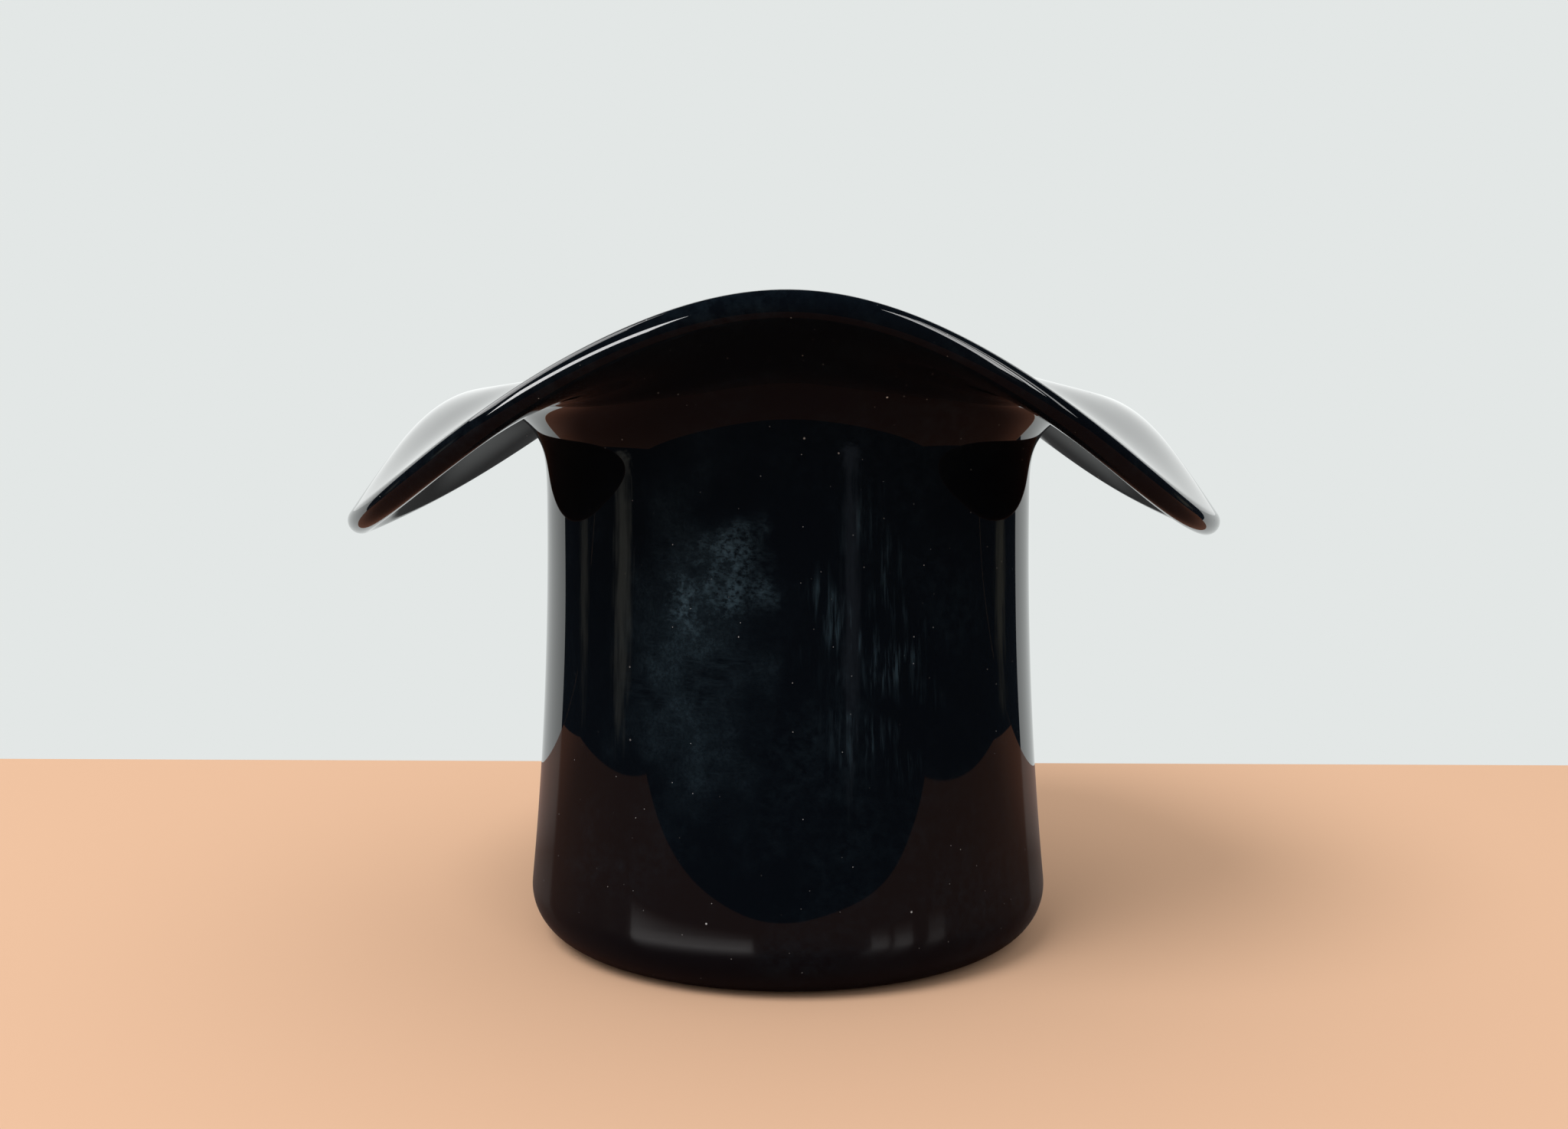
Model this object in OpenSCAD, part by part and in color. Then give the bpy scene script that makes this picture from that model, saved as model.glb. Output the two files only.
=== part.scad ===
// Glass top hat standing upside down on its crown, used as a vase or an ice cooler.
// On the bench it is one piece of black glass. Its three zones, which the glassmaker
// shapes one after the other, are drawn as solids that meet face to face:
// the base, the wall of the crown, and the brim, which is flared out hot
// and then folded down at two opposite sides.
// Millimetres, +Z up, origin on the table under the middle of the base.
// The front, where the brim rises, faces -Y, and the folded sides face +X and -X.

/* [Crown] */
// Diameter at the heel, the widest place of the crown
heel_d = 150; // [120:1:180]
// How far the waist, just under the brim, is drawn in on each side
waist_in = 5.75; // [2:0.25:12]
// Height of the waist above the table
waist_h = 127; // [100:1:160]
// Radius of the rounded heel
heel_r = 14; // [8:0.5:20]
// Thickness of the wall
wall_t = 6; // [4:0.5:9]

/* [Base] */
// Thickness of the bottom above the table
base_t = 11; // [8:0.5:16]
// Radius inside, between the bottom and the wall
corner_r = 10; // [6:0.5:16]
// Diameter of the shallow hollow under the base
hollow_d = 96; // [60:1:100]
// Depth of that hollow at its middle
hollow_depth = 2.5; // [1:0.5:4]

/* [Brim] */
// Length of the sheet from waist to rim at the front and the back
front_l = 72; // [55:0.5:105]
// Length of the sheet at the two folded sides
side_l = 88; // [60:0.5:105]
// Length of the sheet midway between front and side
diagonal_l = 79; // [55:0.5:105]
// Thickness of the fire-polished rim
rim_t = 7.5; // [5:0.5:10]

/* [Folds] */
// Slope of the rim at the front and the back, degrees above level
front_rise = 24; // [5:1:45]
// Slope of the rim at the folded sides, degrees below level
side_drop = 56; // [30:1:80]
// Slope of the rim midway between front and side, degrees below level
diagonal_drop = 33.5; // [10:0.5:55]
// How soon the bend at the front is over, from 1.5 all along the sheet to 6 near the waist
front_bend = 3.6; // [1.5:0.05:6]
// How soon the bend at the sides is over
side_bend = 3.4; // [1.5:0.05:6]
// How long the front stays upright before it bends, from 1 not at all to 8 long
front_ease = 5.8; // [1:0.1:8]
// How long the sides stay upright before they bend
side_ease = 2.7; // [1:0.1:8]
// Uneven hand work: how far the length of the sheet wanders
length_wander = 2.25; // [0:0.25:4]
// Uneven hand work: how far the slope of the rim wanders, in degrees
slope_wander = 2.9; // [0:0.1:4]

/* [Hidden] */
glass = "#0a0b0e";

// Steps of the drawing: facets round a revolve, points along a wall,
// in a small arc, along the sheet, round the rim, and rings of the brim
$fn = 128;
wall_steps = 12;
arc_steps = 8;
sheet_steps = 22;
rim_steps = 6;
ring_count = 96;

// The wall is one long arc, upright at the waist and tangent to the heel's arc.
// Its centre lies outside the hat, level with the waist.
waist_r = heel_d / 2 - waist_in;
heel_centre = [heel_d / 2 - heel_r, heel_r];
heel_to_waist = waist_h - heel_r;
wall_r = (pow(heel_r - waist_in, 2) + pow(heel_to_waist, 2) - pow(heel_r, 2)) / (2 * waist_in);
wall_centre = [waist_r + wall_r, waist_h];
heel_turn = asin(heel_to_waist / (wall_r + heel_r));

// The wall inside runs at an even distance, down to the rounded corner
inner_r = wall_r + wall_t;
corner_turn = asin((waist_h - base_t - corner_r) / (inner_r + corner_r));
corner_centre = wall_centre - (inner_r + corner_r) * [cos(corner_turn), sin(corner_turn)];

// Base and wall meet a little above the ends of both the heel and the corner inside
heel_top = heel_centre.y + heel_r * sin(heel_turn);
corner_top = corner_centre.y + corner_r * sin(corner_turn);
seam_rise = 1;
seam_h = max(heel_top, corner_top) + seam_rise;

// Points of an arc about a centre, from one angle to another
function arc(centre, r, from, to, steps) =
    [for (i = [0 : steps]) let (a = from + (to - from) * i / steps) centre + r * [cos(a), sin(a)]];

// Points of the wall from one height to another, at a radius about the wall's centre
function wall_line(r, from, to) =
    [for (i = [0 : wall_steps])
        let (z = from + (to - from) * i / wall_steps)
        [wall_centre.x - sqrt(r * r - pow(waist_h - z, 2)), z]];

// Shallow dish under the base, from its middle to its edge
function hollow_line() =
    [for (i = [0 : arc_steps]) let (k = i / arc_steps) [hollow_d / 2 * k, hollow_depth * (1 - k * k)]];

// An even wave round the hat through three values: front and back, sides, and diagonals
function wave(front, side, diagonal, a) =
    (front + side) / 4 + diagonal / 2
    + (front - side) / 2 * cos(2 * a)
    + ((front + side) / 4 - diagonal / 2) * cos(4 * a);

// The sheet of the brim at azimuth a, 0 at the front and 90 at +X
function sheet_length(a) = wave(front_l, side_l, diagonal_l, a) + length_wander * sin(3 * a);
function rim_slope(a) =
    wave(front_rise, -side_drop, -diagonal_drop, a) - slope_wander * sin(2 * a) * cos(a);
function bend(a) = front_bend * pow(cos(a), 2) + side_bend * pow(sin(a), 2);
function ease(a) = front_ease * pow(cos(a), 2) + side_ease * pow(sin(a), 2);

// Heading of the sheet in degrees above level, upright at the waist, u from 0 there to 1 at the rim
function heading(u, a) =
    90 - (90 - rim_slope(a)) * pow(1 - pow(1 - u, bend(a)), ease(a));
function sheet_t(u) = wall_t + (rim_t - wall_t) * u;

// Middle line of the sheet as [radius, height], one short straight step after another
function sheet_line(a) =
    let (step = sheet_length(a) / sheet_steps)
    [for (
        i = 0, p = [waist_r - wall_t / 2, waist_h];
        i <= sheet_steps;
        h = heading((i + 0.5) / sheet_steps, a),
        p = p + step * [cos(h), sin(h)],
        i = i + 1
    ) p];

// Section of the brim at azimuth a: the underside out, round the rim, and back along the top
function section(a) =
    let (
        line = sheet_line(a),
        heads = [for (i = [0 : sheet_steps]) heading(i / sheet_steps, a)],
        half = [for (i = [0 : sheet_steps]) sheet_t(i / sheet_steps) / 2],
        out = [for (h = heads) [sin(h), -cos(h)]],
        last = heads[sheet_steps]
    )
    concat(
        [for (i = [0 : sheet_steps]) line[i] + half[i] * out[i]],
        [for (k = [1 : rim_steps - 1])
            line[sheet_steps] + rim_t / 2 * [cos(last - 90 + 180 * k / rim_steps),
                                             sin(last - 90 + 180 * k / rim_steps)]],
        [for (i = [sheet_steps : -1 : 0]) line[i] - half[i] * out[i]]
    );

// Closed skin through rings of points, each ring turned on to its own azimuth
module folded_ring() {
    rings = [for (j = [0 : ring_count - 1]) section(360 * j / ring_count)];
    n = len(rings[0]);
    points = [for (j = [0 : ring_count - 1], p = rings[j])
        let (a = 360 * j / ring_count)
        [p.x * sin(a), -p.x * cos(a), p.y]];
    faces = [for (j = [0 : ring_count - 1], i = [0 : n - 1], half = [0, 1])
        let (
            here = j * n,
            next = ((j + 1) % ring_count) * n,
            k = (i + 1) % n
        )
        half == 0 ? [here + i, here + k, next + k] : [here + i, next + k, next + i]];
    polyhedron(points, faces);
}

// Solid bottom with the rounded heel, the standing ring and the hollow under it
module base() {
    color(glass)
    rotate_extrude()
    polygon(concat(
        hollow_line(),
        arc(heel_centre, heel_r, -90, heel_turn, arc_steps),
        wall_line(wall_r, heel_top, seam_h),
        wall_line(inner_r, seam_h, corner_top),
        arc(corner_centre, corner_r, corner_turn, -90, arc_steps),
        [[0, base_t]]
    ));
}

// Drawn-in wall of the crown, from the base up to the waist
module crown() {
    color(glass)
    rotate_extrude()
    polygon(concat(
        wall_line(wall_r, seam_h, waist_h),
        wall_line(inner_r, waist_h, seam_h)
    ));
}

// Brim, one sheet that rises at the front and the back and is folded down at the sides
module brim() {
    color(glass)
    folded_ring();
}

base();
crown();
brim();
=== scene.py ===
# %% [markdown]
# # A top hat of black glass
# The object is a top hat of opaque black glass that stands upside down on its crown. A glassmaker
# blows a gather of black glass into a cup, opens it, spins the edge out to a brim, and folds two
# sides of the brim down while the glass is hot. It is one piece of glass, so one closed surface
# stands for it here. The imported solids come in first: they fix the size and the place.

import bpy
import numpy as np
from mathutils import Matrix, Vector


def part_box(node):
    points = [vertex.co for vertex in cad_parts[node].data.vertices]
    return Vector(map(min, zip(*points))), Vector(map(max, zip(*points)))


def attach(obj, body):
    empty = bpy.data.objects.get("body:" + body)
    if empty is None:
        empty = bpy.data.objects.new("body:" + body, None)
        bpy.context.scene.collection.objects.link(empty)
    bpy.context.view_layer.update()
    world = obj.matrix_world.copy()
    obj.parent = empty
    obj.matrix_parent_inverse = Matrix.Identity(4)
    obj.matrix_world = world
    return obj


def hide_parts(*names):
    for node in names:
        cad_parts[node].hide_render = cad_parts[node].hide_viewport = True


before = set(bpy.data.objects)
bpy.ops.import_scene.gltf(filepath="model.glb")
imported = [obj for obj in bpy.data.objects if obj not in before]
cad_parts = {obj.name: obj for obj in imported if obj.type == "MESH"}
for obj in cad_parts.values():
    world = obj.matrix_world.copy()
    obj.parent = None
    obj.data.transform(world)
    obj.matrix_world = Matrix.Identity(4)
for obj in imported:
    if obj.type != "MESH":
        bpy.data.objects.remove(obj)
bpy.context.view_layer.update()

# %% [markdown]
# ## Sizes
# The radius of the heel and the height of the waist are read from the solids. The rest of the drawing is
# repeated here, because the solids only hold its result. The script thinks in millimetres and turns to
# metres at the very end, when a mesh is made.

# %% Driving sizes in millimetres
MM = 0.001

heel_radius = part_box("base")[1].x / MM
waist_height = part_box("crown")[1].z / MM
waist_in = 5.75          # how far the waist is drawn in on each side
heel_round = 14.0        # radius of the rounded heel
wall = 6.0               # thickness of the wall
bottom = 11.0            # height of the flat bottom inside
corner_round = 10.0      # radius inside, between bottom and wall
hollow_radius = 48.0     # shallow hollow under the base
hollow_depth = 2.5
rim_thick = 7.5          # thickness of the fire-polished rim

waist_radius = heel_radius - waist_in
print("heel radius %.2f, waist radius %.2f, waist height %.2f mm"
      % (heel_radius, waist_radius, waist_height))

# %% [markdown]
# ## The crown as a profile
# A lathe form could be a curve with a Screw modifier. Here the profile is a row of points [radius,
# height] made with numpy, because the brim that follows isn't round and needs a profile of its own at
# every angle. The wall is one long arc: upright at the waist and tangent to the arc of the heel, which
# is what gives blown glass its easy line.

# %% Arcs of the crown
rise = waist_height - heel_round
wall_radius = ((heel_round - waist_in) ** 2 + rise ** 2 - heel_round ** 2) / (2 * waist_in)
wall_centre = np.array([waist_radius + wall_radius, waist_height])
heel_centre = np.array([heel_radius - heel_round, heel_round])
heel_turn = np.arcsin(rise / (wall_radius + heel_round))

inner_radius = wall_radius + wall
corner_turn = np.arcsin((waist_height - bottom - corner_round) / (inner_radius + corner_round))
corner_way = np.array([np.cos(corner_turn), np.sin(corner_turn)])
corner_centre = wall_centre - (inner_radius + corner_round) * corner_way


def arc(centre, radius, start, end, steps):
    """Points centre + radius * (cos t, sin t), with t going evenly from start to end."""
    turn = np.linspace(start, end, steps)[:, None]
    return centre + radius * np.hstack([np.cos(turn), np.sin(turn)])


def outside_profile(steps):
    """Hollow, standing ring, heel and outer wall, from the axis under the base up to the waist.

    The hollow is the parabola z = depth * (1 - k * k) for k = r / hollow radius. The ring is level.
    Heel and wall are two arcs that share a tangent.
    """
    k = np.linspace(0, 1, steps // 4)[:, None]
    hollow = np.hstack([hollow_radius * k, hollow_depth * (1 - k * k)])
    ring = np.array([[0.5 * (hollow_radius + heel_centre[0]), 0.0]])
    heel = arc(heel_centre, heel_round, -np.pi / 2, heel_turn, steps // 2)
    side = arc(wall_centre, wall_radius, np.pi + heel_turn, np.pi, steps)
    return np.vstack([hollow, ring, heel, side[1:]])


def inside_profile(steps):
    """Inner wall down from the waist, the rounded corner, and the flat bottom to the axis."""
    side = arc(wall_centre, inner_radius, np.pi, np.pi + corner_turn, steps)
    corner = arc(corner_centre, corner_round, corner_turn, -np.pi / 2, steps // 2)
    k = np.linspace(1, 0, steps // 4)[:, None]
    floor = np.hstack([corner_centre[0] * k, np.full_like(k, bottom)])
    return np.vstack([side, corner[1:], floor[1:]])


print("wall arc radius %.0f mm, heel turns %.1f degrees" % (wall_radius, np.degrees(heel_turn)))

# %% [markdown]
# ## The folded brim
# This is the difficult form. A flat ring could be bent with lattices or sculpted, but the hot sheet has
# a simple rule: at each angle round the hat it leaves the waist upright, bends over within a short way,
# and runs out almost straight to the rim at a slope of its own. At the front and the back that slope
# rises, at the two sides it hangs. So the sheet is a heading that depends on the way along it and on the
# angle, and adding up short steps along the heading gives the sheet itself.

# %% The sheet of the brim
front_length, side_length, diagonal_length = 72.0, 88.0, 79.0    # waist to rim, along the glass
front_slope, side_slope, diagonal_slope = 24.0, -56.0, -33.5     # degrees above level at the rim
front_bend, side_bend = 3.6, 3.4                                 # how soon the bend is over
front_ease, side_ease = 5.8, 2.7                                 # how long it stays upright before
length_wander, slope_wander = 2.25, 2.9                          # uneven hand work, mm and degrees
inside_by = 0.2                                                  # skin to solids, at the rim


def round_the_hat(front, side, diagonal, angle):
    """Smooth wave through three values: front and back, sides, and half-way between.

    even + diagonal / 2 + (front - side) / 2 * cos 2a + (even - diagonal / 2) * cos 4a,
    where even is (front + side) / 4.
    """
    even = (front + side) / 4
    twice = (front - side) / 2 * np.cos(2 * angle)
    four_times = (even - diagonal / 2) * np.cos(4 * angle)
    return even + diagonal / 2 + twice + four_times


def brim_profile(angle, steps, rim_steps):
    """Underside out, round the rim and back along the top: an array [angle, point, (radius, height)].

    heading(u) = 90 - (90 - slope) * (1 - (1 - u) ** bend) ** ease in degrees, for u from 0 at the waist
    to 1 at the rim. The middle of the sheet is the sum of short steps along the heading. Both faces lie
    half the thickness off it, and the rim is a half circle about its end.
    """
    a = angle[:, None]
    length = round_the_hat(front_length, side_length, diagonal_length, a)
    length = length + length_wander * np.sin(3 * a) - inside_by
    slope = round_the_hat(front_slope, side_slope, diagonal_slope, a)
    slope = slope - slope_wander * np.sin(2 * a) * np.cos(a)
    bend = front_bend * np.cos(a) ** 2 + side_bend * np.sin(a) ** 2
    ease = front_ease * np.cos(a) ** 2 + side_ease * np.sin(a) ** 2

    def heading(u):
        return np.radians(90 - (90 - slope) * (1 - (1 - u) ** bend) ** ease)

    u = np.linspace(0, 1, steps + 1)[None]
    along = heading((u[:, 1:] + u[:, :-1]) / 2)
    step = np.stack([np.cos(along), np.sin(along)], -1) * length[..., None] / steps
    start = np.broadcast_to([waist_radius - wall / 2, waist_height], (len(angle), 1, 2))
    middle = np.concatenate([start, start + np.cumsum(step, axis=1)], axis=1)

    turn = heading(u)
    half = (wall + (rim_thick - wall) * u)[..., None] / 2
    off = half * np.stack([np.sin(turn), -np.cos(turn)], -1)
    round_rim = turn[:, -1:] + np.linspace(-np.pi / 2, np.pi / 2, rim_steps + 1)[None, 1:-1]
    rim = middle[:, -1:] + rim_thick / 2 * np.stack([np.cos(round_rim), np.sin(round_rim)], -1)
    return np.concatenate([middle + off, rim, (middle - off)[:, ::-1]], axis=1)


print("slope of the rim at front, diagonal and side:",
      [round_the_hat(front_slope, side_slope, diagonal_slope, np.radians(d)) for d in (0, 45, 90)])

# %% [markdown]
# ## One closed surface
# The three stretches are joined to one profile at each of 300 angles, and the profiles to a closed
# skin. The first and the last point of a profile lie on the axis, so each of these two places gets one
# shared vertex with a fan of triangles round it, instead of 300 vertices on top of each other.

# %% The whole hat as a grid
ROUND = 300                                       # angles round the hat
CROWN_STEPS, BRIM_STEPS, RIM_STEPS = 48, 72, 20    # fineness of the three stretches


def hat_grid(angle):
    """Grid [angle, point, (x, y, z)] in millimetres: (r sin a, -r cos a, z), with the front at -y."""
    outside, inside = outside_profile(CROWN_STEPS), inside_profile(CROWN_STEPS)
    lower = np.broadcast_to(outside, (len(angle), *outside.shape))
    inner = np.broadcast_to(inside, (len(angle), *inside.shape))
    brim = brim_profile(angle, BRIM_STEPS, RIM_STEPS)
    profile = np.concatenate([lower, brim[:, 1:-1], inner], axis=1)
    radius, height = profile[..., 0], profile[..., 1]
    a = angle[:, None]
    return np.stack([radius * np.sin(a), -radius * np.cos(a), height], -1)


def closed_skin(grid):
    """Vertices and faces of a grid that closes round the axis and has a pole at both ends."""
    count, points = grid.shape[:2]
    body = grid[:, 1:-1].reshape(-1, 3)
    verts = np.vstack([body, grid[0, 0], grid[0, -1]])
    low_pole, high_pole = len(body), len(body) + 1
    row = points - 2
    here = np.arange(count) * row
    after = np.roll(here, -1)
    i = np.arange(row - 1)
    first, second = here[:, None] + i, after[:, None] + i
    quads = np.stack([first, second, second + 1, first + 1], -1)
    low = np.stack([np.full(count, low_pole), after, here], -1)
    high = np.stack([np.full(count, high_pole), here + row - 1, after + row - 1], -1)
    return verts, quads.reshape(-1, 4).tolist() + low.tolist() + high.tolist()


def mesh_object(name, verts, faces):
    """A mesh in metres at the origin, with smooth shading."""
    mesh = bpy.data.meshes.new(name)
    mesh.from_pydata((np.asarray(verts) * MM).tolist(), [], faces)
    mesh.shade_smooth()
    mesh.validate()
    piece = bpy.data.objects.new(name, mesh)
    bpy.context.scene.collection.objects.link(piece)
    return piece


angles = np.linspace(0, 2 * np.pi, ROUND, endpoint=False)
hat = mesh_object("hat", *closed_skin(hat_grid(angles)))
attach(hat, "root")
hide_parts("base", "crown", "brim")
print("hat: %d vertices, %d faces" % (len(hat.data.vertices), len(hat.data.polygons)))

# %% [markdown]
# ## Black glass
# Black glass is clear glass coloured so deeply that a few millimetres let nothing through. So the eye
# sees almost no colour of its own, only a mirror of about four per cent, rising to a full mirror at a
# grazing angle. Fire polishing leaves it very smooth, with the slow waves of hand work, and what
# really tells the eye where the surface is are the marks on it: dust, and the haze that hands and
# cloths leave. One Principled shader does all of it, with noise on Object coordinates, in real sizes.

# %% Helpers for materials
MIX_A, MIX_B, MIX_OUT = 6, 7, 2    # places of the colour sockets of a Mix node


def linear(hex_colour):
    """Linear colour of an sRGB hex value, with full alpha."""
    srgb = np.array([int(hex_colour[i:i + 2], 16) for i in (1, 3, 5)]) / 255
    value = np.where(srgb <= 0.04045, srgb / 12.92, ((srgb + 0.055) / 1.055) ** 2.4).tolist()
    return value + [1.0]


def add(tree, kind, inputs=None, **settings):
    """Add one node. Settings are its properties; inputs gives sockets a value or another node's output."""
    new = tree.nodes.new("ShaderNode" + kind)
    for name, value in settings.items():
        setattr(new, name, value)
    for socket, value in (inputs or {}).items():
        if isinstance(value, bpy.types.NodeSocket):
            tree.links.new(value, new.inputs[socket])
        else:
            new.inputs[socket].default_value = value
    return new


def empty_material(name):
    """A node material with nothing in it but its output."""
    material = bpy.data.materials.new(name)
    material.use_nodes = True
    tree = material.node_tree
    tree.nodes.clear()
    return material, tree, add(tree, "OutputMaterial")


print("a mid grey of #808080 is %.3f in linear light" % linear("#808080")[0])

# %% [markdown]
# ## Marks on the glass
# Hands, a cloth, water and dust each leave a mark of their own kind. They could be painted on an image,
# but noise in real sizes needs no unwrapping and stays sharp from near by. A mark is a product of
# parts, such as a place and a grain, and where marks overlap the strongest one shows.

# %% Parts of a mark
RAGGED = 14.0    # size in millimetres of the blobs that make the edge of a spot uneven


def spot(tree, place, centre, reach):
    """Mask about a centre, fading out towards the reach with a ragged edge. Both are in millimetres.

    It falls smoothly from 1 to 0 as distance / reach + noise goes from 0.6 to 1.4.
    """
    off = add(tree, "VectorMath", {0: place, 1: [c * MM for c in centre]}, operation="SUBTRACT")
    share = add(tree, "VectorMath", {0: off.outputs[0], 1: [r * MM for r in reach]}, operation="DIVIDE")
    far = add(tree, "VectorMath", {0: share.outputs[0]}, operation="LENGTH")
    ragged = add(tree, "TexNoise", {"Vector": place, "Scale": 1 / (RAGGED * MM), "Detail": 2.0})
    edge = add(tree, "Math", {0: far.outputs["Value"], 1: ragged.outputs["Fac"]}, operation="ADD")
    mask = add(tree, "MapRange", {"Value": edge.outputs[0], "From Min": 1.4, "From Max": 0.6},
               interpolation_type="SMOOTHSTEP")
    return mask.outputs[0]


def grain(tree, place, size, low, high, detail=5.0, stretch=(1, 1, 1)):
    """Noise with blobs of a size in millimetres, longer by the stretch, as 0 below low and 1 above high."""
    longer = add(tree, "Mapping", {"Vector": place, "Scale": [1 / s for s in stretch]})
    noise = add(tree, "TexNoise", {
        "Vector": longer.outputs[0], "Scale": 1 / (size * MM), "Detail": detail, "Roughness": 0.7})
    cut = add(tree, "MapRange", {"Value": noise.outputs["Fac"], "From Min": low, "From Max": high})
    return cut.outputs[0]


def strongest(tree, *marks):
    """The largest of several marks at each place, where a mark is the product of its parts."""
    result = None
    for mark, *parts in marks:
        for part in parts:
            mark = add(tree, "Math", {0: mark, 1: part}, operation="MULTIPLY").outputs[0]
        if result is None:
            result = mark
        else:
            result = add(tree, "Math", {0: result, 1: mark}, operation="MAXIMUM").outputs[0]
    return result


def dust(tree, place, cell, share, radius):
    """Specks, one in a share of the cells of a size in millimetres, each with a brightness of its own."""
    cells = add(tree, "TexVoronoi", {"Vector": place, "Scale": 1 / (cell * MM)})
    edge = radius / cell
    speck = add(tree, "MapRange", {
        "Value": cells.outputs["Distance"], "From Min": edge, "From Max": 0.6 * edge})
    chance = add(tree, "SeparateColor", {"Color": cells.outputs["Color"]})
    bright = add(tree, "MapRange", {"Value": chance.outputs["Red"], "From Min": 1 - share, "From Max": 1.0})
    return strongest(tree, (speck.outputs[0], bright.outputs[0]))


print("a grain of 1 mm has a noise scale of %.0f" % (1 / MM))

# %% [markdown]
# ## The glass and its marks together
# Places are in millimetres on the hat, with the front at -y. The marks lie where hands and cloth reach
# first, on the front of the crown. Haze only lightens the black body a little and blurs the mirror
# slightly, while a speck of dust is a pale matt dot.

# %% The black glass
def black_glass():
    """Opaque black glass, blown and fire-polished: dark body, sharp mirror, slow waves, haze and dust."""
    material, tree, output = empty_material("black_glass_fire_polished")
    place = add(tree, "TexCoord").outputs["Object"]
    body_tone, haze_tone, dust_tone = linear("#05080d"), linear("#364a57"), linear("#a9adb0")

    # Slow waves of hand work, 28 mm wide and drawn out along the wall
    along = add(tree, "Mapping", {"Vector": place, "Scale": (1, 1, 0.6)})
    waves = add(tree, "TexNoise", {"Vector": along.outputs[0], "Scale": 1 / (28 * MM), "Detail": 0.0})
    bump = add(tree, "Bump", {"Height": waves.outputs["Fac"], "Strength": 1.0, "Distance": 0.25 * MM})

    # The print of a palm: two spots that overlap, broken up into patches and fine ridges
    fingers = spot(tree, place, (-13, -67, 112), (16, 30, 22))
    ball = spot(tree, place, (-24, -64, 104), (15, 30, 14))
    palm = strongest(tree, (fingers,), (ball,))
    patches = grain(tree, place, 11, 0.36, 0.62, 2.0)
    ridges = grain(tree, place, 1.2, 0.39, 0.61, 9.0, (1.4, 1.4, 1))

    # A wiped area, with strokes of the cloth and clouds of a fine bloom
    wiped = spot(tree, place, (-24, -64, 90), (30, 40, 66))
    strokes = grain(tree, place, 0.8, 0.42, 0.76, 4.0, (8, 8, 1))
    clouds = grain(tree, place, 12, 0.30, 0.70, 3.0)
    bloom = grain(tree, place, 0.9, 0.25, 0.65, 6.0)

    # Drips that ran down in broken lines, and a thin film all over
    wet = spot(tree, place, (23, -65, 92), (24, 30, 52))
    runs = grain(tree, place, 1.5, 0.48, 0.80, 3.0, (1, 1, 14))
    breaks = grain(tree, place, 16, 0.42, 0.58, 1.0)
    film = grain(tree, place, 45, 0.45, 0.75)
    smear = grain(tree, place, 3, 0.40, 0.80)

    haze = strongest(
        tree, (palm, patches, ridges), (wiped, strokes, 0.22), (wiped, clouds, bloom, 0.38),
        (wet, runs, breaks, 0.9), (film, smear, 0.16))
    fine, coarse = dust(tree, place, 2.6, 0.5, 0.13), dust(tree, place, 9, 0.7, 0.34)
    specks = strongest(tree, (fine,), (coarse,))

    hazed = add(tree, "Mix", {"Factor": haze, MIX_A: body_tone, MIX_B: haze_tone}, data_type="RGBA")
    dusty = add(tree, "Mix", {
        "Factor": specks, MIX_A: hazed.outputs[MIX_OUT], MIX_B: dust_tone}, data_type="RGBA")
    rough_haze = add(tree, "MapRange", {"Value": haze, "To Min": 0.02, "To Max": 0.10})

    shader = add(tree, "BsdfPrincipled", {
        "Base Color": dusty.outputs[MIX_OUT],
        "Roughness": strongest(tree, (rough_haze.outputs[0],), (specks,)),
        "Normal": bump.outputs[0], "IOR": 1.5})
    tree.links.new(shader.outputs[0], output.inputs["Surface"])
    return material


hat.data.materials.append(black_glass())
print("material:", hat.data.materials[0].name)

# %% [markdown]
# ## Camera
# The photograph was taken from a little above the brim, close by, with a normal lens. Height, distance,
# tilt and focal length were worked out from the outline of the crown and of the brim.

# %% Camera at the photograph's place
IMAGE_WIDTH = 2048
focal_px = 2538.6
camera_far, camera_high = 560.5, 172.4
camera_turn, camera_pan, camera_tilt = np.radians([0.98, 0.12, 6.73])

camera_data = bpy.data.cameras.new("camera")
camera_data.sensor_width = 36.0
camera_data.lens = focal_px / IMAGE_WIDTH * camera_data.sensor_width
camera = bpy.data.objects.new("camera", camera_data)
camera.location = (
    camera_far * MM * np.sin(camera_turn),
    -camera_far * MM * np.cos(camera_turn),
    camera_high * MM)
camera.rotation_euler = (np.pi / 2 - camera_tilt, 0, camera_turn + camera_pan)
bpy.context.scene.collection.objects.link(camera)
bpy.context.scene.camera = camera
print("lens %.2f mm" % camera_data.lens)

# %% [markdown]
# ## The board and the pale background
# The hat stands on a plain pale board. Its back edge is near, and behind it is nothing but an even pale
# background, which the glass mirrors too.

# %% Board
board_back, board_reach, board_thick = 224.0, 3000.0, 20.0


def board_grid():
    """A flat board: a rectangle swept along x, with its top at z = 0 and a rounded back edge."""
    half = board_thick / 2
    edge = arc(np.array([board_back - half, -half]), half, np.pi / 2, -np.pi / 2, 13)
    section = np.vstack([[-board_reach, 0], edge, [-board_reach, -board_thick]])
    ends = np.array([-board_reach, board_reach])[:, None]
    x = np.broadcast_to(ends, (2, len(section)))
    return np.stack([x, *np.broadcast_to(section, (2, len(section), 2)).transpose(2, 0, 1)], -1)


def sheet_faces(grid):
    """Vertices and faces of an open grid."""
    rows, points = grid.shape[:2]
    i, j = np.meshgrid(np.arange(rows - 1), np.arange(points - 1), indexing="ij")
    first = i * points + j
    faces = np.stack([first, first + points, first + points + 1, first + 1], -1)
    return grid.reshape(-1, 3), faces.reshape(-1, 4).tolist()


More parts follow.
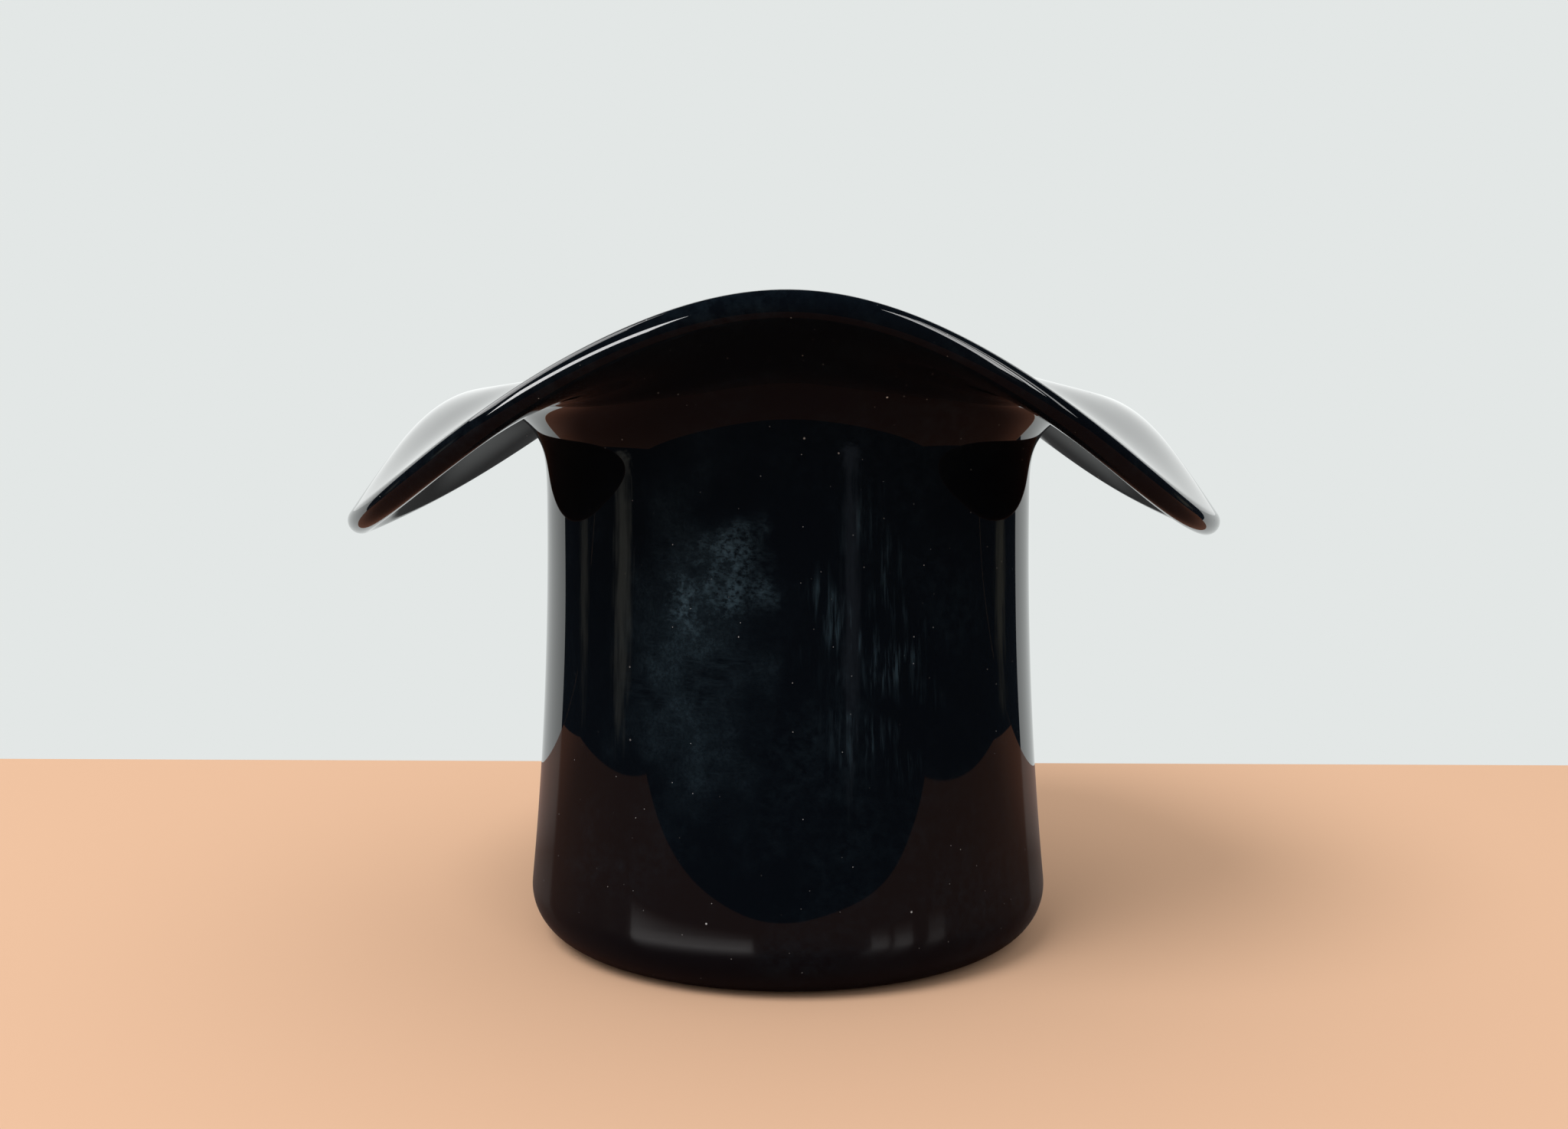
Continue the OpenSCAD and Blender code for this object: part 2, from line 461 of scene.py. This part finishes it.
def matt_paint(name, colour):
    """Plain paint with no gloss, so the board mirrors neither lamp nor cards."""
    material, tree, output = empty_material(name)
    shader = add(tree, "BsdfPrincipled", {
        "Base Color": linear(colour), "Roughness": 1.0, "Specular IOR Level": 0.0})
    tree.links.new(shader.outputs[0], output.inputs["Surface"])
    return material


board = mesh_object("board", *sheet_faces(board_grid()))
board.data.materials.append(matt_paint("painted_board", "#e6bb9b"))
print("board: back edge %.0f mm behind the hat's axis" % board_back)

# %% Background
pale = "#e3e7e6"

world = bpy.data.worlds.new("pale_room")
bpy.context.scene.world = world
world.use_nodes = True
room = world.node_tree
room.nodes.clear()
ray = add(room, "LightPath").outputs
shown = strongest(room, (ray["Is Camera Ray"],), (ray["Is Glossy Ray"],), (ray["Is Transmission Ray"],))
room_tone = add(room, "Mix", {
    "Factor": shown, MIX_A: linear("#dfe0df"), MIX_B: linear(pale)}, data_type="RGBA")
background = add(room, "Background", {"Color": room_tone.outputs[MIX_OUT]})
add(room, "OutputWorld", {"Surface": background.outputs[0]})
print("background:", pale)

# %% [markdown]
# ## Light for black glass
# Black glass shows what stands round it, so a studio lights the room, not the glass. A tent of black
# cloth keeps it dark from the front, the sides and above, and a gap behind lets the pale background in
# along the edges. This cloth and the pieces after it only show in reflections, so any other camera
# still sees the pale board and background.

# %% Tent of black cloth
tent_radius = 1600.0
gap_left, gap_right = -126.0, 134.0    # azimuths of the two edges of the gap, in degrees
gap_top = 40.0                         # elevation of its upper edge
lap = 0.2                              # overlap of neighbours, in degrees, so that no slit shows
cloth_tone = "#20262e"


def dome_part(radius, azimuths, elevations):
    """Part of a sphere: radius * (sin az cos el, -cos az cos el, sin el), azimuth 0 at the front."""
    az, el = np.meshgrid(np.radians(azimuths), np.radians(elevations), indexing="ij")
    return radius * np.stack([np.sin(az) * np.cos(el), -np.cos(az) * np.cos(el), np.sin(el)], -1)


def glow(name, colour, strength):
    """A surface that only glows: dark cloth or a lit card."""
    material, tree, output = empty_material(name)
    shader = add(tree, "Emission", {"Color": linear(colour), "Strength": strength})
    tree.links.new(shader.outputs[0], output.inputs["Surface"])
    return material


def only_in_reflections(name, grid, material):
    """A stage piece that glass mirrors, but that no camera sees and that casts no light or shadow."""
    piece = mesh_object(name, *sheet_faces(grid))
    piece.data.materials.append(material)
    piece.visible_camera = False
    piece.visible_diffuse = False
    piece.visible_shadow = False
    piece.visible_transmission = False


# The black cloth is no lamp, yet it glows at a dim tone of its own: painted light in place of the little
# light a real cloth catches.
black_cloth = glow("black_cloth", cloth_tone, 1.0)
sides = dome_part(tent_radius, np.linspace(gap_left, gap_right, 60), np.linspace(-60, gap_top, 12))
only_in_reflections("cloth_sides", sides, black_cloth)
above = dome_part(tent_radius, np.linspace(-180, 180, 73), np.linspace(gap_top - lap, 90, 8))
only_in_reflections("cloth_above", above, black_cloth)
print("tent: gap of %.0f degrees behind" % (360 + gap_left - gap_right))

# %% [markdown]
# ## Mat and shaded card
# A brown felt mat warms the low crown and the underside of the brim. Behind it stands a pale card with
# two shades, which darken the underside of the folded sides. Real shades would need a lamp of their
# own, so the colour of the card simply fades over a few centimetres.

# %% Brown felt
def fade(tree, value, clear, full, most=1.0):
    """A smooth rise from 0 where the value is clear to the most where it is full, both in millimetres."""
    ramp = add(tree, "MapRange", {
        "Value": value, "From Min": clear * MM, "From Max": full * MM, "To Max": most},
        interpolation_type="SMOOTHSTEP")
    return ramp.outputs[0]


def brown_felt():
    """Brown wool felt with a sheen of its fibres, rubbed smooth in the middle and at the back, with painted
    light that makes the back paler.
    """
    material, tree, output = empty_material("brown_felt")
    place = add(tree, "TexCoord").outputs["Object"]
    depth = add(tree, "SeparateXYZ", {0: place}).outputs["Y"]
    far = add(tree, "VectorMath", {0: place}, operation="LENGTH").outputs["Value"]
    # Paler at the back than at the front: painted light, not a colour of the felt.
    tone = add(tree, "Mix", {
        "Factor": fade(tree, depth, 40, 190),
        MIX_A: linear("#4d322a"), MIX_B: linear("#784d3c")}, data_type="RGBA")
    rubbed_middle = fade(tree, far, 235, 105, 0.012)
    rubbed_back = fade(tree, depth, 40, 130, 0.025)
    shader = add(tree, "BsdfPrincipled", {
        "Base Color": tone.outputs[MIX_OUT], "Roughness": 0.25,
        "Specular IOR Level": strongest(tree, (rubbed_middle,), (rubbed_back,)),
        "Sheen Weight": 0.35, "Sheen Roughness": 0.4, "Sheen Tint": linear("#d9a586")})
    tree.links.new(shader.outputs[0], output.inputs["Surface"])
    return material


felt = brown_felt()
print("felt: %d nodes" % len(felt.node_tree.nodes))

# %% Shaded card, floor cloth and mat
shade_half, shade_low, shade_high = 102.0, -60.0, 110.0           # size of the card
mat_front, mat_shoulder, mat_half, mat_corner = -264.0, 100.0, 460.0, 400.0
cloth_lift, mat_lift = 0.3, 0.6                                   # heights above the board
board_end = board_back - board_thick / 2                          # where its back edge starts to round


def shaded_card():
    """A pale card that glows, with a painted shade on either side of its middle, soft at its outer and
    upper ends.
    """
    material, tree, output = empty_material("shaded_card")
    place = add(tree, "SeparateXYZ", {0: add(tree, "TexCoord").outputs["Object"]})
    aside = add(tree, "Math", {0: place.outputs["X"]}, operation="ABSOLUTE").outputs[0]
    inner, outer = fade(tree, aside, -6, 50), fade(tree, aside, shade_half, 82)
    upper = fade(tree, place.outputs["Z"], shade_high, 85)
    deep = strongest(tree, (inner, outer, upper))
    tone = add(tree, "Mix", {
        "Factor": deep, MIX_A: linear(pale), MIX_B: linear("#595959")}, data_type="RGBA")
    shader = add(tree, "Emission", {"Color": tone.outputs[MIX_OUT]})
    tree.links.new(shader.outputs[0], output.inputs["Surface"])
    return material


def level_sheet(depths, halves, height):
    """A level sheet above the board: at each depth y it reaches from -half to +half along x."""
    x = np.array([[-1.0], [1.0]]) * np.array(halves)
    return np.stack([x, np.broadcast_to(depths, x.shape), np.full_like(x, height)], -1)


shade = np.array([[[x, board_back, z] for z in (shade_low, shade_high)] for x in (-shade_half, shade_half)])
only_in_reflections("shaded_card", shade, shaded_card())
floor_cloth = level_sheet([-board_reach, board_end], [board_reach, board_reach], cloth_lift)
only_in_reflections("cloth_floor", floor_cloth, black_cloth)
mat = level_sheet([mat_front, mat_shoulder, board_end], [mat_half, mat_half, mat_corner], mat_lift)
only_in_reflections("brown_mat", mat, felt)
print("mat: %.0f x %.0f mm" % (2 * mat_half, board_end - mat_front))

# %% [markdown]
# ## Folds in the cloth
# Hanging cloth has folds, and four that catch some light draw the soft upright lines on the crown. They
# could be modelled in the tent, but a strip of glowing cloth in front of it with a soft pale spot of
# painted light is enough, because the round wall of the crown squeezes any spot to an upright line.

# %% Folds
fold_radius = 500.0
fold_low, fold_high = 0.1, 15.0            # elevations of the strip, in degrees
fold_middle, fold_reach = 7.0, 76.0        # elevation of the spot in degrees, half its height in mm


def cloth_with_painted_fold_light(name, tone, middle, reach):
    """Glowing black cloth with one soft pale spot, painted light where a fold would catch a little light,
    soft at its edges.
    """
    material, tree, output = empty_material(name)
    lit = spot(tree, add(tree, "TexCoord").outputs["Object"], middle, reach)
    colour = add(tree, "Mix", {
        "Factor": lit, MIX_A: linear(cloth_tone), MIX_B: linear(tone)}, data_type="RGBA")
    shader = add(tree, "Emission", {"Color": colour.outputs[MIX_OUT]})
    tree.links.new(shader.outputs[0], output.inputs["Surface"])
    return material


# Each tone is the painted light of a fold's pale spot, glowing on the dark cloth.
for name, azimuth, reach, tone in (("left", -76, 68, "#8f8f87"), ("far_left", -102, 46, "#64645f"),
                                   ("right", 112, 60, "#64635a"), ("front_right", 27.5, 52, "#5f6671")):
    half_turn = np.degrees(reach / fold_radius)
    azimuths = np.linspace(azimuth - half_turn, azimuth + half_turn, 8)
    fold = dome_part(fold_radius, azimuths, np.linspace(fold_low, fold_high, 8))
    middle = dome_part(fold_radius, [azimuth], [fold_middle])[0, 0]
    cloth = cloth_with_painted_fold_light("fold_" + name, tone, middle, (reach, reach, fold_reach))
    only_in_reflections("fold_" + name, fold, cloth)
    print("fold %s at azimuth %.1f" % (name, azimuth))

# %% [markdown]
# ## Bright cards
# A card at the left and three panes at the right draw the white lines along the rim, and two softer
# cards, one high and one behind, light the tops of the folded sides. Lamps would do the same, but a
# card shows its shape in the mirror and throws no light on the board.

# %% Cards
card_radius = 1400.0
card_low = 7.5       # elevation of the lower edge of the front cards, in degrees
before_gap = 10.0    # how far the back card stands in front of the gap


def lit_card(name, grid, colour, strength):
    """A bright card with a glow of its own."""
    only_in_reflections("card_" + name, grid, glow("lit_card_" + name, colour, strength))


left_card = dome_part(card_radius, np.linspace(-68, -14, 20), np.linspace(card_low, 25, 12))
lit_card("left", left_card, "#ffffff", 15.0)
for name, start, end, strength in (("near", 32, 43, 9.0), ("middle", 45.5, 54, 9.0), ("far", 62, 70, 5.0)):
    pane = dome_part(card_radius, np.linspace(start, end, 8), np.linspace(card_low, 66, 12))
    lit_card("right_" + name, pane, "#ffffff", strength)
high_card = dome_part(card_radius, np.linspace(-135, -88, 20), np.linspace(28, 60, 12))
lit_card("high", high_card, "#ffffff", 3.5)
behind = np.linspace(gap_right - lap, 360 + gap_left + lap, 20)
back_card = dome_part(tent_radius - before_gap, behind, np.linspace(4, gap_top, 12))
lit_card("back", back_card, "#f2f5f4", 1.3)

# %% [markdown]
# ## Lamp
# One large round lamp gives the board its soft shadow. It is hidden from mirrors, so only the cards
# show in the glass.

# %% Soft lamp
lamp_turn = np.radians(36)

lamp_data = bpy.data.lights.new("soft_lamp", "AREA")
lamp_data.shape = "DISK"
lamp_data.size = 1.8
lamp_data.energy = 52.0
lamp = bpy.data.objects.new("soft_lamp", lamp_data)
lamp.location = (-1.1, -1.5, 2.5)
lamp.rotation_euler = (lamp_turn, 0, -lamp_turn)
lamp.visible_camera = False
lamp.visible_glossy = False
bpy.context.scene.collection.objects.link(lamp)
print("lamp: %.1f m across, %.0f W" % (lamp_data.size, lamp_data.energy))

# %% [markdown]
# ## Display settings
# The picture keeps plain display settings.

# %% Finish
bpy.context.scene.view_settings.view_transform = "Standard"
